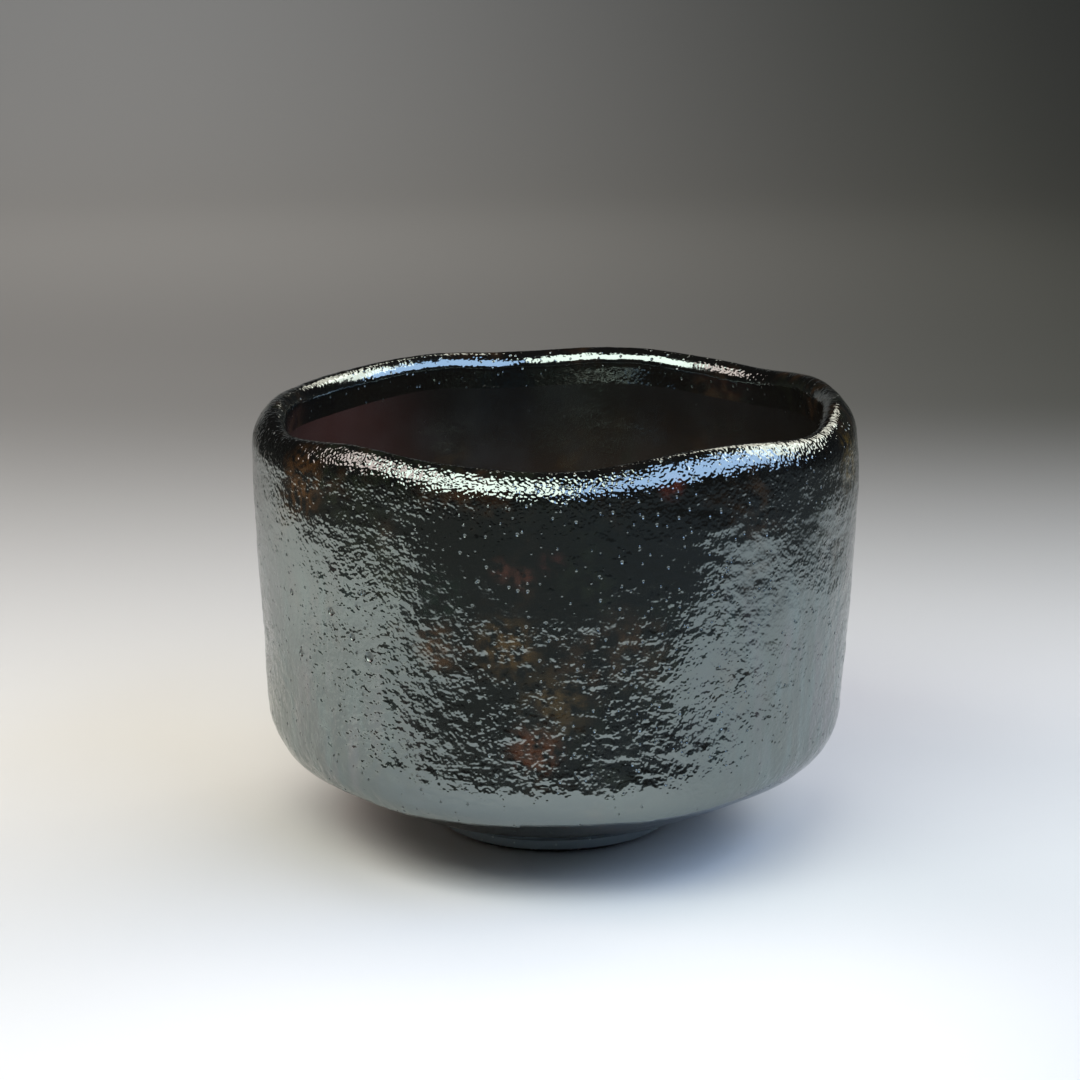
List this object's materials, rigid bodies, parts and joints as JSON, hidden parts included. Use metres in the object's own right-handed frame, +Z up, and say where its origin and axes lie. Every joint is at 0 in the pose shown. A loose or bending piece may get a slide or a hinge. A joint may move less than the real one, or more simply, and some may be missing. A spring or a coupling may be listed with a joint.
{
  "type": "matcha bowl",
  "caption": "Low hand-formed tea bowl with near-straight walls, a waving lip, thick glossy black glaze and a small ring foot.",
  "frame": {"origin": "on the table, at the middle of the bowl's bounding box, under the middle of the foot", "axes": "+Z up through the mouth, -Y towards the side that faces a viewer, +X to the viewer's right"},
  "size_m": [0.116, 0.1153, 0.0851],
  "materials": {
    "clay": "fired, porous clay under the glaze",
    "bare_clay": "fired bare clay, dark and matt",
    "slip": "fired slip",
    "inner_black_glaze": "glossy black glaze with brown patches",
    "black_glaze": "thick glossy black glaze with an orange-peel skin and pits",
    "foot_black_glaze": "thin black glaze, half matt"
  },
  "bodies": {
    "root": {"clay_bowl": "clay", "foot_ring": "bare_clay", "foot_slip": "slip", "inner_glaze": "inner_black_glaze", "outer_glaze": "black_glaze", "recess_glaze": "foot_black_glaze"}
  },
  "joints": []
}
